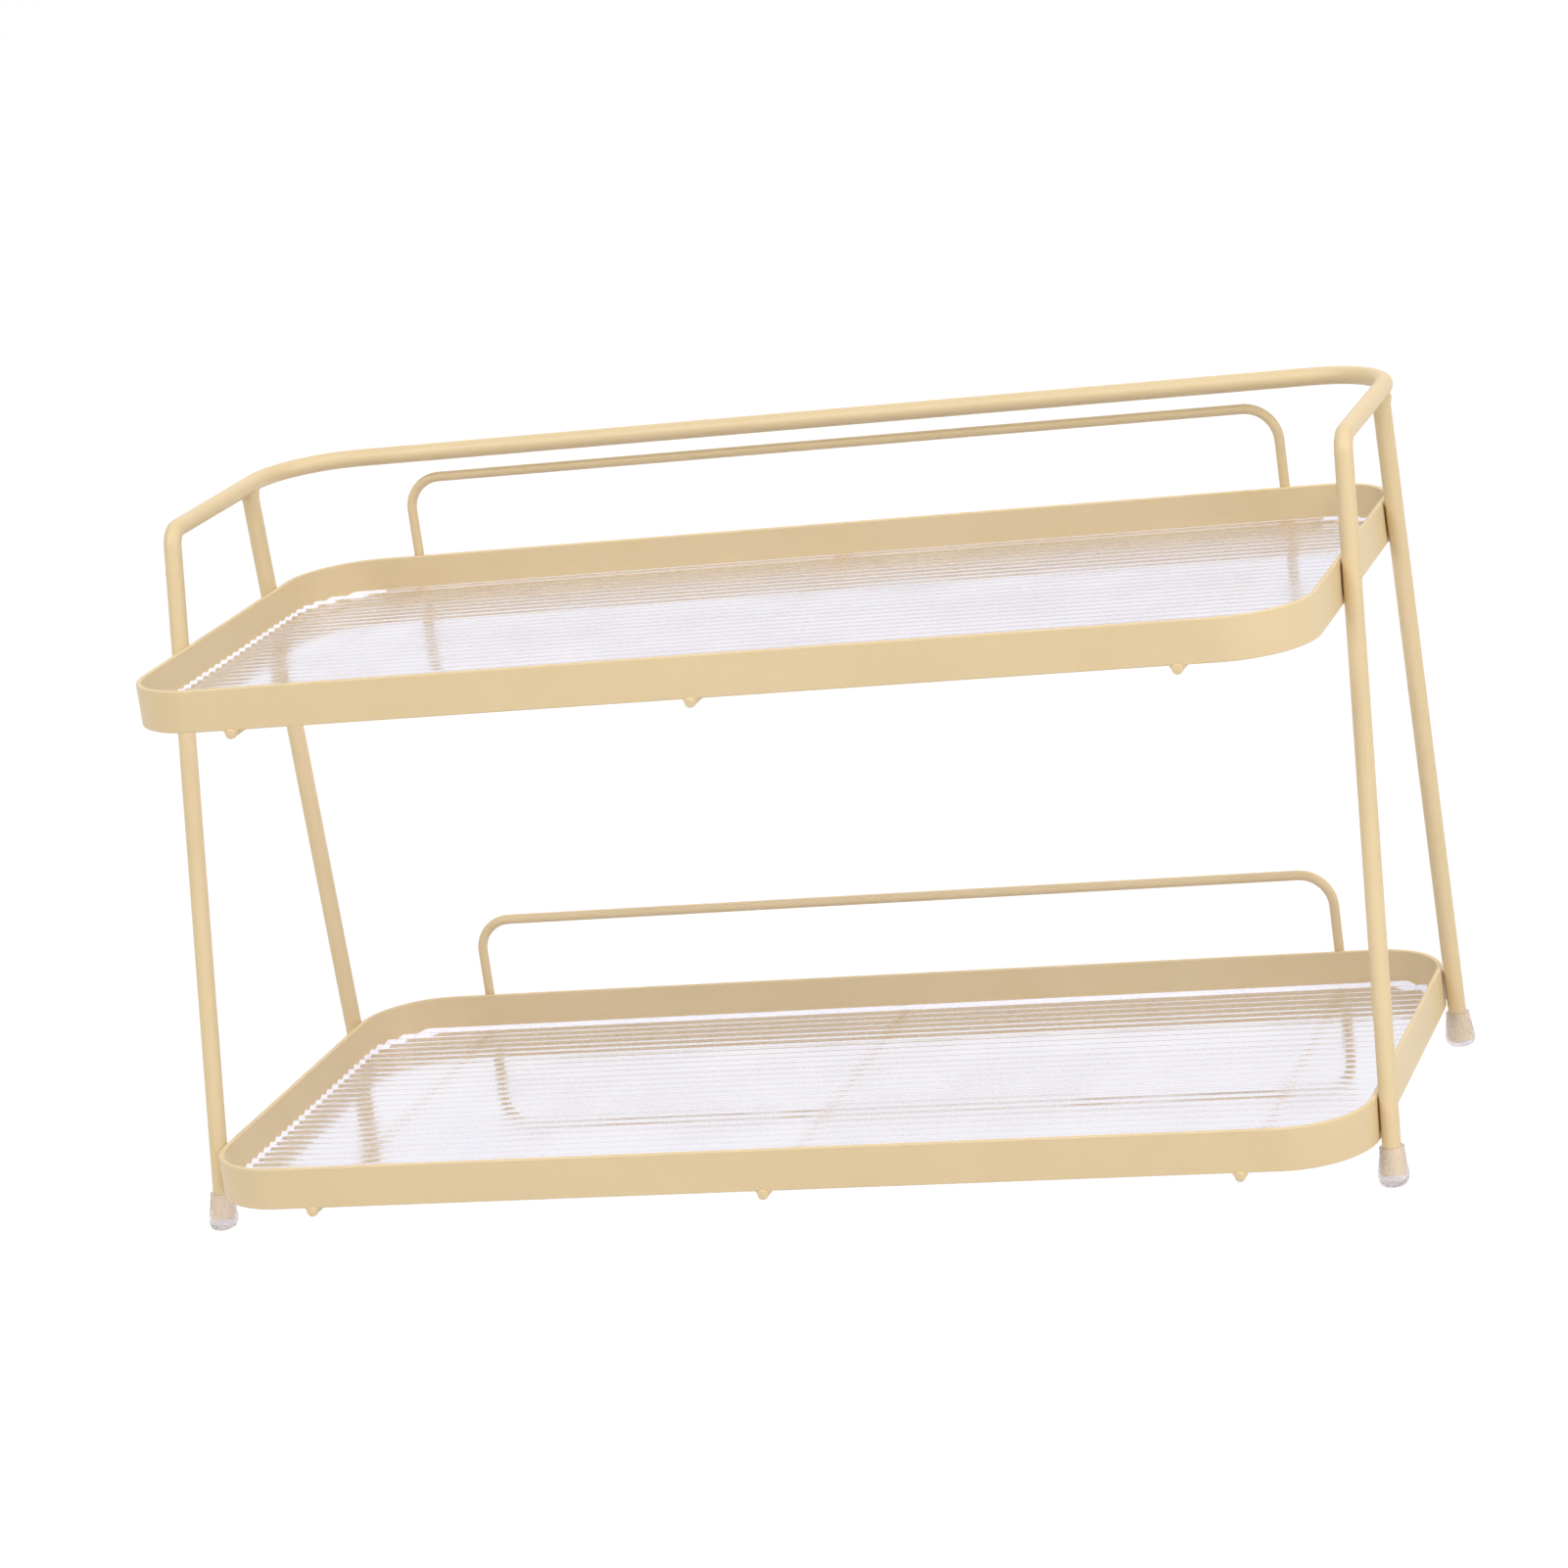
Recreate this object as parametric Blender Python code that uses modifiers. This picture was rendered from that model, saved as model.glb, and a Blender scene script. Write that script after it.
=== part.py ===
"""Two-tier countertop organizer: two strip-rimmed trays with fluted clear panels on a welded rod frame.

Metres, +Z up, +X to the right along the trays, +Y to the rear. The origin lies on the table, under the
middle of the whole object.
"""

import math
from collections import namedtuple

import bmesh
import bpy
from mathutils import Matrix, Vector

# Trays: a flat strip bent to a rounded rectangle, the same for both tiers
TRAY_LENGTH = 0.390
TRAY_DEPTH = 0.182
TRAY_CORNER_RADIUS = 0.027
RIM_HEIGHT = 0.014
RIM_THICKNESS = 0.0018
RIM_EDGE_ROUND = 0.0004
TIER_SPACING = 0.1626

# Clear panels: flat below, with a row of round ribs along X on top
PANEL_SIDE_CLEARANCE = 0.0005
PANEL_BASE_THICKNESS = 0.0012
RIB_PITCH = 0.0054
RIB_RISE = 0.0014

# Frame rods: the top rail with both front legs, and the two rear legs
ROD_DIAMETER = 0.006
RAIL_RISE = 0.037
RAIL_CORNER_RADIUS = 0.0286
RAIL_REAR_INSET = 0.0034
FRONT_BEND_RADIUS = 0.0065
FRONT_FOOT_INSET = 0.023
FRONT_TOP_INSET = 0.0758
REAR_FOOT_INSET = 0.023
REAR_TOP_INSET = 0.0375

# Wires: three straight ones under each panel, sunk into the rim's lower edge, and a guard behind each rim
WIRE_DIAMETER = 0.0034
WIRE_END_INSET = 0.0397
WIRE_OVERHANG = 0.0008
WIRE_SINK = 0.0007
GUARD_RISE = 0.027
GUARD_BEND_RADIUS = 0.0115
GUARD_FOOT_RAISE = 0.002

# Foot caps: soft plastic, wider towards the table, with a slight lip and a rounded, narrower sole
CAP_HEIGHT = 0.0116
CAP_FLOOR = 0.0018
CAP_WALL = 0.0005
CAP_FLARE = 0.0011
CAP_ROUND_HEIGHT = 0.0031
CAP_ROUND_DEPTH = 0.0019
CAP_LIP_RADIUS = 0.0002
RIM_ABOVE_CAP = 0.0021

# Gaps and overruns
SEAT_GAP = 0.0003
CUT_OVERRUN = 0.004
WELD_DISTANCE = 0.000005

# Smoothness of what is round
ARC_STEP = math.radians(7.5)
ROD_BEVEL_RESOLUTION = 6
WIRE_BEVEL_RESOLUTION = 4
RIB_FACETS = 6
CAP_TURN_STEPS = 24
CAP_ARC_STEPS = 4
EDGE_SEGMENTS = 2
SHARP_ANGLE = math.radians(40)

# Places worked out from the sizes
ROD_RADIUS = ROD_DIAMETER / 2
WIRE_RADIUS = WIRE_DIAMETER / 2
OVERALL_DEPTH = WIRE_OVERHANG + TRAY_DEPTH + SEAT_GAP + WIRE_DIAMETER
FRONT_Y = WIRE_OVERHANG - OVERALL_DEPTH / 2
REAR_Y = FRONT_Y + TRAY_DEPTH
TRAY_MIDDLE_Y = FRONT_Y + TRAY_DEPTH / 2
LOWER_RIM_Z = CAP_HEIGHT + RIM_ABOVE_CAP
UPPER_RIM_Z = LOWER_RIM_Z + TIER_SPACING
RAIL_Z = UPPER_RIM_Z + RIM_HEIGHT + RAIL_RISE
RAIL_X = TRAY_LENGTH / 2 + SEAT_GAP + ROD_RADIUS
RAIL_BACK_Y = REAR_Y - RAIL_REAR_INSET
WIRE_X = TRAY_LENGTH / 2 - WIRE_END_INSET
PANEL_SEAT_HEIGHT = WIRE_SINK + SEAT_GAP

# Where each leg's centre line meets the table and the rail's centre line
FRONT_FOOT_Y = FRONT_Y + FRONT_FOOT_INSET
FRONT_TOP_Y = FRONT_Y + FRONT_TOP_INSET
REAR_FOOT_Y = REAR_Y - REAR_FOOT_INSET
REAR_TOP_Y = REAR_Y - REAR_TOP_INSET

# Finishes, with the colour in linear red, green and blue
Finish = namedtuple("Finish", "color roughness metallic transmission")
CREAM_POWDER_COAT = Finish((0.745, 0.591, 0.361), 0.38, 0.0, 0.0)
CLEAR_FLUTED_SHEET = Finish((0.93, 0.93, 0.96), 0.05, 0.0, 1.0)
MILKY_SOFT_PLASTIC = Finish((0.72, 0.70, 0.70), 0.35, 0.0, 0.5)


def clear_scene():
    """Removes what the startup scene holds."""
    for obj in list(bpy.data.objects):
        bpy.data.objects.remove(obj, do_unlink=True)


def new_collection(name):
    """Makes a collection in the scene."""
    collection = bpy.data.collections.new(name)
    bpy.context.scene.collection.children.link(collection)
    return collection


def new_material(name, finish):
    """Makes a piece's own material from its finish."""
    material = bpy.data.materials.new(name)
    material.use_nodes = True
    shader = material.node_tree.nodes["Principled BSDF"]
    shader.inputs["Base Color"].default_value = (*finish.color, 1.0)
    shader.inputs["Roughness"].default_value = finish.roughness
    shader.inputs["Metallic"].default_value = finish.metallic
    shader.inputs["Transmission Weight"].default_value = finish.transmission
    return material


def add_object(name, data, finish, collection, parent=None, place=(0, 0, 0)):
    """Puts a mesh or curve in the scene as one named piece; a helper has no finish."""
    obj = bpy.data.objects.new(name, data)
    collection.objects.link(obj)
    if finish:
        data.materials.append(new_material(name, finish))
    obj.parent = parent
    obj.location = place
    return obj


def add_empty(name, collection, place):
    """Adds the reference point that a tray's pieces hang on."""
    empty = bpy.data.objects.new(name, None)
    empty.location = place
    collection.objects.link(empty)
    return empty


def mark_as_cutter(obj):
    """Keeps a helper out of the render and shows it as wires."""
    obj.hide_render = True
    obj.display_type = "WIRE"


def mesh_from(bm, name):
    """Turns a bmesh into a closed mesh that is shaded smooth between its sharp edges."""
    bmesh.ops.remove_doubles(bm, verts=bm.verts, dist=WELD_DISTANCE)
    bmesh.ops.recalc_face_normals(bm, faces=bm.faces)
    mesh = bpy.data.meshes.new(name)
    bm.to_mesh(mesh)
    bm.free()
    mesh.shade_smooth()
    mesh.set_sharp_from_angle(angle=SHARP_ANGLE)
    return mesh


def arc_round_corner(before, corner, after, radius):
    """Points of the arc that rounds one corner, from the run before it to the run after it."""
    back = (before - corner).normalized()
    ahead = (after - corner).normalized()
    half = back.angle(ahead) / 2
    centre = corner + (back + ahead).normalized() * (radius / math.sin(half))
    start = corner + back * (radius / math.tan(half)) - centre
    end = corner + ahead * (radius / math.tan(half)) - centre
    turn = math.pi - 2 * half
    steps = max(2, math.ceil(turn / ARC_STEP))
    axis = start.cross(end).normalized()
    return [centre + Matrix.Rotation(turn * i / steps, 3, axis) @ start for i in range(steps + 1)]


def bent_path(corners, radii):
    """Points of an open path with straight runs and a round bend at each inner corner."""
    corners = [Vector(corner) for corner in corners]
    points = [corners[0]]
    for i, radius in enumerate(radii, start=1):
        points += arc_round_corner(corners[i - 1], corners[i], corners[i + 1], radius)
    return points + [corners[-1]]


def rounded_rectangle(length, depth, radius):
    """Points round a rectangle with round corners, about the origin."""
    signs = ((-1, -1), (1, -1), (1, 1), (-1, 1))
    corners = [Vector((sx * length / 2, sy * depth / 2, 0)) for sx, sy in signs]
    points = []
    for i, corner in enumerate(corners):
        points += arc_round_corner(corners[i - 1], corner, corners[(i + 1) % 4], radius)
    return points


def add_run(curve, points):
    """Adds one unbroken run to the curve of a rod or wire."""
    spline = curve.splines.new("POLY")
    spline.points.add(len(points) - 1)
    for point, place in zip(spline.points, points):
        point.co = (*place, 1.0)


def tube_curve(name, points, radius, resolution):
    """Makes a round rod or wire along points, with closed ends."""
    curve = bpy.data.curves.new(name, "CURVE")
    curve.dimensions = "3D"
    curve.bevel_depth = radius
    curve.bevel_resolution = resolution
    curve.use_fill_caps = True
    add_run(curve, points)
    return curve


def mesh_in_place_of(drawn, collection):
    """Replaces a curve or a turned object by the same shape as a closed mesh, which can be worked on."""
    graph = bpy.context.evaluated_depsgraph_get()
    mesh = bpy.data.meshes.new_from_object(drawn.evaluated_get(graph))
    bm = bmesh.new()
    bm.from_mesh(mesh)
    bmesh.ops.remove_doubles(bm, verts=bm.verts, dist=WELD_DISTANCE)
    bmesh.ops.recalc_face_normals(bm, faces=bm.faces)
    bm.to_mesh(mesh)
    bm.free()
    name = drawn.name
    place = drawn.matrix_world.copy()
    bpy.data.objects.remove(drawn)
    obj = bpy.data.objects.new(name, mesh)
    obj.matrix_world = place
    collection.objects.link(obj)
    return obj


def add_boolean(obj, other, operation):
    """Cuts or trims obj with another mesh."""
    modifier = obj.modifiers.new(other.name, "BOOLEAN")
    modifier.operation = operation
    modifier.solver = "EXACT"
    modifier.object = other
    return modifier


def prism(outline, height):
    """Makes a bmesh of an outline drawn upwards."""
    bm = bmesh.new()
    face = bm.faces.new([bm.verts.new(point) for point in outline])
    drawn = bmesh.ops.extrude_face_region(bm, geom=[face])
    moved = [part for part in drawn["geom"] if isinstance(part, bmesh.types.BMVert)]
    bmesh.ops.translate(bm, verts=moved, vec=(0, 0, height))
    return bm


def rim_wall(name):
    """Outer face of the rim: the tray's outline drawn upwards."""
    bm = bmesh.new()
    points = rounded_rectangle(TRAY_LENGTH, TRAY_DEPTH, TRAY_CORNER_RADIUS)
    outline = [bm.verts.new(point) for point in points]
    edges = [bm.edges.new(pair) for pair in zip(outline, outline[1:] + outline[:1])]
    drawn = bmesh.ops.extrude_edge_only(bm, edges=edges)
    moved = [part for part in drawn["geom"] if isinstance(part, bmesh.types.BMVert)]
    bmesh.ops.translate(bm, verts=moved, vec=(0, 0, RIM_HEIGHT))
    return mesh_from(bm, name)


def add_rim(name, parent, finish, collection):
    """Adds a tray's rim: the wall thickened inwards to a strip, with its long edges rounded."""
    rim = add_object(name, rim_wall(name), finish, collection, parent)
    strip = rim.modifiers.new("strip", "SOLIDIFY")
    strip.thickness = RIM_THICKNESS
    strip.offset = -1
    strip.use_even_offset = True
    edges = rim.modifiers.new("rounded_edges", "BEVEL")
    edges.width = RIM_EDGE_ROUND
    edges.segments = EDGE_SEGMENTS
    edges.limit_method = "ANGLE"
    edges.angle_limit = SHARP_ANGLE
    return rim


def ribbed_section(depth):
    """Outline of the panel seen from its end: a flat underside and a row of round ribs on top."""
    count = math.ceil(depth / RIB_PITCH)
    start = -count * RIB_PITCH / 2
    rib_radius = (RIB_RISE**2 + (RIB_PITCH / 2) ** 2) / (2 * RIB_RISE)
    half_angle = math.asin(RIB_PITCH / 2 / rib_radius)
    tops = []
    for rib in range(count):
        middle = start + (rib + 1 / 2) * RIB_PITCH
        for step in range(RIB_FACETS):
            angle = half_angle * (2 * step / RIB_FACETS - 1)
            height = PANEL_BASE_THICKNESS + RIB_RISE - rib_radius * (1 - math.cos(angle))
            tops.append((middle + rib_radius * math.sin(angle), height))
    tops.append((-start, PANEL_BASE_THICKNESS))
    return [(start, 0), *tops, (-start, 0)]


def add_panel(name, parent, finish, collection, cutters):
    """Adds a fluted panel: the ribbed section drawn along X, trimmed to the rim's inner outline."""
    length = TRAY_LENGTH - 2 * (RIM_THICKNESS + PANEL_SIDE_CLEARANCE)
    depth = TRAY_DEPTH - 2 * (RIM_THICKNESS + PANEL_SIDE_CLEARANCE)
    radius = TRAY_CORNER_RADIUS - RIM_THICKNESS - PANEL_SIDE_CLEARANCE
    sheet_length = length + 2 * CUT_OVERRUN
    sheet = prism([(y, z, 0) for y, z in ribbed_section(depth)], sheet_length)
    stand_along_x = Matrix(((0, 0, 1, -sheet_length / 2), (1, 0, 0, 0), (0, 1, 0, 0), (0, 0, 0, 1)))
    bmesh.ops.transform(sheet, matrix=stand_along_x, verts=sheet.verts)
    place = (0, 0, PANEL_SEAT_HEIGHT)
    panel = add_object(name, mesh_from(sheet, name), finish, collection, parent, place)

    thickness = PANEL_BASE_THICKNESS + RIB_RISE
    block = prism(rounded_rectangle(length, depth, radius), thickness + 2 * CUT_OVERRUN)
    bmesh.ops.translate(block, verts=block.verts, vec=(0, 0, -CUT_OVERRUN))
    trim_name = name + "_outline"
    trim = add_object(trim_name, mesh_from(block, trim_name), None, cutters, parent, place)
    mark_as_cutter(trim)
    add_boolean(panel, trim, "INTERSECT")
    return panel


def wire_ends(x, reach):
    """Ends of a straight wire from front to rear at x."""
    return [Vector((x, -reach, 0)), Vector((x, reach, 0))]


def add_cross_wire(name, x, parent, finish, collection):
    """Adds a straight wire from front to rear, under the panel and sunk into the rim's lower edge."""
    ends = wire_ends(x, TRAY_DEPTH / 2 + WIRE_OVERHANG)
    curve = tube_curve(name, ends, WIRE_RADIUS, WIRE_BEVEL_RESOLUTION)
    return add_object(name, curve, finish, collection, parent, (0, 0, WIRE_SINK - WIRE_RADIUS))


def add_wire_notches(rim, parent, places, cutters):
    """Cuts the notches that the cross wires lie in out of the rim's lower edge."""
    name = rim.name + "_notches"
    reach = TRAY_DEPTH / 2 + CUT_OVERRUN
    curve = tube_curve(name, wire_ends(places[0], reach), WIRE_RADIUS + SEAT_GAP, WIRE_BEVEL_RESOLUTION)
    for x in places[1:]:
        add_run(curve, wire_ends(x, reach))
    around_wires = add_object(name, curve, None, cutters, parent, (0, 0, WIRE_SINK - WIRE_RADIUS))
    bpy.context.view_layer.update()
    notches = mesh_in_place_of(around_wires, cutters)
    mark_as_cutter(notches)
    add_boolean(rim, notches, "DIFFERENCE")


def add_guard(name, parent, finish, collection):
    """Adds the guard: an upside-down U against the rear face of the rim, over the outer cross wires."""
    top = RIM_HEIGHT + GUARD_RISE
    corners = [
        (-WIRE_X, 0, GUARD_FOOT_RAISE),
        (-WIRE_X, 0, top),
        (WIRE_X, 0, top),
        (WIRE_X, 0, GUARD_FOOT_RAISE),
    ]
    points = bent_path(corners, [GUARD_BEND_RADIUS, GUARD_BEND_RADIUS])
    curve = tube_curve(name, points, WIRE_RADIUS, WIRE_BEVEL_RESOLUTION)
    place = (0, TRAY_DEPTH / 2 + SEAT_GAP + WIRE_RADIUS, 0)
    return add_object(name, curve, finish, collection, parent, place)


def add_tray(tier, rim_z, collection, cutters):
    """Adds one tier: rim, panel, three cross wires and guard."""
    tray = add_empty(tier + "_tray", collection, (0, TRAY_MIDDLE_Y, rim_z))
    rim = add_rim(tier + "_rim", tray, CREAM_POWDER_COAT, collection)
    add_panel(tier + "_panel", tray, CLEAR_FLUTED_SHEET, collection, cutters)
    wires = {"left": -WIRE_X, "centre": 0, "right": WIRE_X}
    for side, x in wires.items():
        add_cross_wire(f"{tier}_cross_wire_{side}", x, tray, CREAM_POWDER_COAT, collection)
    add_wire_notches(rim, tray, list(wires.values()), cutters)
    add_guard(tier + "_guard", tray, CREAM_POWDER_COAT, collection)


class LegLine:
    """Centre line of a leg, from the table to the height of the rail's centre line."""

    def __init__(self, foot_y, top_y):
        self.foot_y = foot_y
        self.slope = (top_y - foot_y) / RAIL_Z
        self.lean = math.atan(abs(self.slope))

    def point(self, side, z):
        """Point of the centre line at height z, on the left (-1) or right (1)."""
        return Vector((side * RAIL_X, self.foot_y + self.slope * z, z))

    def rod_end(self, side):
        """Where the rod ends inside its foot cap, clear of the cap's floor."""
        return self.point(side, CAP_FLOOR + SEAT_GAP + ROD_RADIUS * math.sin(self.lean))


def top_rail_curve(name, front, radius):
    """Rod or cutter along the front legs, side rails and back bar."""
    corners = [
        front.rod_end(-1),
        front.point(-1, RAIL_Z),
        (-RAIL_X, RAIL_BACK_Y, RAIL_Z),
        (RAIL_X, RAIL_BACK_Y, RAIL_Z),
        front.point(1, RAIL_Z),
        front.rod_end(1),
    ]
    radii = [FRONT_BEND_RADIUS, RAIL_CORNER_RADIUS, RAIL_CORNER_RADIUS, FRONT_BEND_RADIUS]
    return tube_curve(name, bent_path(corners, radii), radius, ROD_BEVEL_RESOLUTION)


def add_rear_leg(name, line, side, cope, finish, collection):
    """Adds a straight rear leg, its top end coped to sit under the side rail."""
    ends = [line.rod_end(side), line.point(side, RAIL_Z)]
    rod = add_object(name, tube_curve(name, ends, ROD_RADIUS, ROD_BEVEL_RESOLUTION), finish, collection)
    leg = mesh_in_place_of(rod, collection)
    add_boolean(leg, cope, "DIFFERENCE")
    return leg


def cap_profile(bore_radius):
    """Half section of a foot cap as (radius, height), from the middle of its sole round to its floor."""
    top_radius = bore_radius + CAP_WALL
    base_radius = top_radius + CAP_FLARE
    profile = [(0, 0)]
    for step in range(CAP_ARC_STEPS + 1):
        angle = math.pi / 2 * step / CAP_ARC_STEPS
        out = base_radius - CAP_ROUND_DEPTH * (1 - math.sin(angle))
        profile.append((out, CAP_ROUND_HEIGHT * (1 - math.cos(angle))))
    for step in range(CAP_ARC_STEPS + 1):
        angle = math.pi * step / CAP_ARC_STEPS
        out = top_radius + CAP_LIP_RADIUS * math.sin(angle)
        profile.append((out, CAP_HEIGHT - CAP_LIP_RADIUS * (1 + math.cos(angle))))
    return [*profile, (bore_radius, CAP_HEIGHT), (bore_radius, CAP_FLOOR), (0, CAP_FLOOR)]


def add_foot_cap(name, line, side, finish, collection):
    """Adds a foot cap: a turned cup, pushed over to the leg's lean so that its sole stays level."""
    bore_radius = ROD_RADIUS / math.cos(line.lean) + SEAT_GAP
    profile = [(radius, 0, z) for radius, z in cap_profile(bore_radius)]
    edges = [(i, i + 1) for i in range(len(profile) - 1)]
    section = bpy.data.meshes.new(name)
    section.from_pydata(profile, edges, [])
    turned = add_object(name, section, finish, collection)
    turn = turned.modifiers.new("turn", "SCREW")
    turn.steps = CAP_TURN_STEPS
    turn.render_steps = CAP_TURN_STEPS
    turn.use_merge_vertices = True
    turn.merge_threshold = WELD_DISTANCE

    cap = mesh_in_place_of(turned, collection)
    lean = Matrix.Identity(4)
    lean[1][2] = line.slope
    cap.data.transform(lean)
    cap.data.set_sharp_from_angle(angle=SHARP_ANGLE)
    cap.location = (side * RAIL_X, line.foot_y, 0)
    return cap


def main():
    clear_scene()
    parts = new_collection("two_tier_organizer")
    cutters = new_collection("cutters")
    for tier, rim_z in (("lower", LOWER_RIM_Z), ("upper", UPPER_RIM_Z)):
        add_tray(tier, rim_z, parts, cutters)

    front = LegLine(FRONT_FOOT_Y, FRONT_TOP_Y)
    rear = LegLine(REAR_FOOT_Y, REAR_TOP_Y)
    rail = top_rail_curve("top_rail", front, ROD_RADIUS)
    add_object("top_rail", rail, CREAM_POWDER_COAT, parts)
    around_rail = top_rail_curve("rail_clearance", front, ROD_RADIUS + SEAT_GAP)
    cope = mesh_in_place_of(add_object("rail_clearance", around_rail, None, cutters), cutters)
    mark_as_cutter(cope)

    for side_name, side in (("left", -1), ("right", 1)):
        add_rear_leg("rear_leg_" + side_name, rear, side, cope, CREAM_POWDER_COAT, parts)
        add_foot_cap("foot_cap_front_" + side_name, front, side, MILKY_SOFT_PLASTIC, parts)
        add_foot_cap("foot_cap_rear_" + side_name, rear, side, MILKY_SOFT_PLASTIC, parts)


main()
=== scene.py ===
"""Two-tier countertop organizer: cream powder-coated frame, fluted clear panels, milky foot caps.

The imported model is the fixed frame. Each visible piece is made here in the frame's own metres, stands
for its node and rides on that node's body.
"""

import logging
import math
from dataclasses import dataclass
from enum import Enum

import bmesh
import bpy
from mathutils import Matrix, Vector


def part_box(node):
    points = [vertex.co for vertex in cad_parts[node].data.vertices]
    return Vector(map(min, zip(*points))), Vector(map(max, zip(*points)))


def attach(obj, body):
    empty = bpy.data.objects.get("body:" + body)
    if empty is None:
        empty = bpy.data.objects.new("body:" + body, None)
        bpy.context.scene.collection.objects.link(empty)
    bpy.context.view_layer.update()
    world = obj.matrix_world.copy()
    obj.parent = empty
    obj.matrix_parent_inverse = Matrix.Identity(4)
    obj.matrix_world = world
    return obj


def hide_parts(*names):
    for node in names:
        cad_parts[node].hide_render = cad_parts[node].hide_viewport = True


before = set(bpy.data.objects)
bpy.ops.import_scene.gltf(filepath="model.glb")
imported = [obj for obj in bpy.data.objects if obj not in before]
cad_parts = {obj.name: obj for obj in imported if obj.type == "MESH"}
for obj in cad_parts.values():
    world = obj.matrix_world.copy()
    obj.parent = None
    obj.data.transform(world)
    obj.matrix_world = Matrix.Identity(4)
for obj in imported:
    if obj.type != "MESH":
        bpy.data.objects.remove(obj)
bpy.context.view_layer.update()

LOG = logging.getLogger("organizer")
MM = 0.001
X = Vector((1, 0, 0))
Y = Vector((0, 1, 0))
Z = Vector((0, 0, 1))

# Sockets of a colour mix, whose names repeat on the node
MIX_FACTOR, MIX_FIRST, MIX_SECOND, MIX_RESULT = 0, 6, 7, 2
# Most of a noise pattern lies between these
NOISE_DARK, NOISE_LIGHT = 0.3, 0.7
WHITE = (1.0, 1.0, 1.0, 1.0)


class Side(Enum):
    """Left or right end of the organizer, as the sign of X."""

    LEFT = -1
    RIGHT = 1


class Slot(Enum):
    """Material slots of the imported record."""

    COAT = "cream_powder_coat"
    SHEET = "clear_fluted_sheet"
    CAP = "milky_soft_plastic"


class Body(Enum):
    """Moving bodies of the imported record."""

    FRAME = "frame"
    UPPER_PANEL = "upper_panel"
    LOWER_PANEL = "lower_panel"


# ---- finishes ----


def showing_rays(tree: bpy.types.NodeTree) -> bpy.types.NodeSocket:
    """Adds a switch for the rays that show a surface.

    Args:
        tree: The nodes that get the switch.

    Returns:
        The socket that is 1 for rays from the camera, a mirror or a clear piece, and 0 for others.
    """
    path = tree.nodes.new("ShaderNodeLightPath")
    seen = path.outputs["Is Camera Ray"]
    for kind in ("Is Glossy Ray", "Is Transmission Ray"):
        either = tree.nodes.new("ShaderNodeMath")
        either.operation = "MAXIMUM"
        tree.links.new(seen, either.inputs[0])
        tree.links.new(path.outputs[kind], either.inputs[1])
        seen = either.outputs[0]
    return seen


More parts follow.
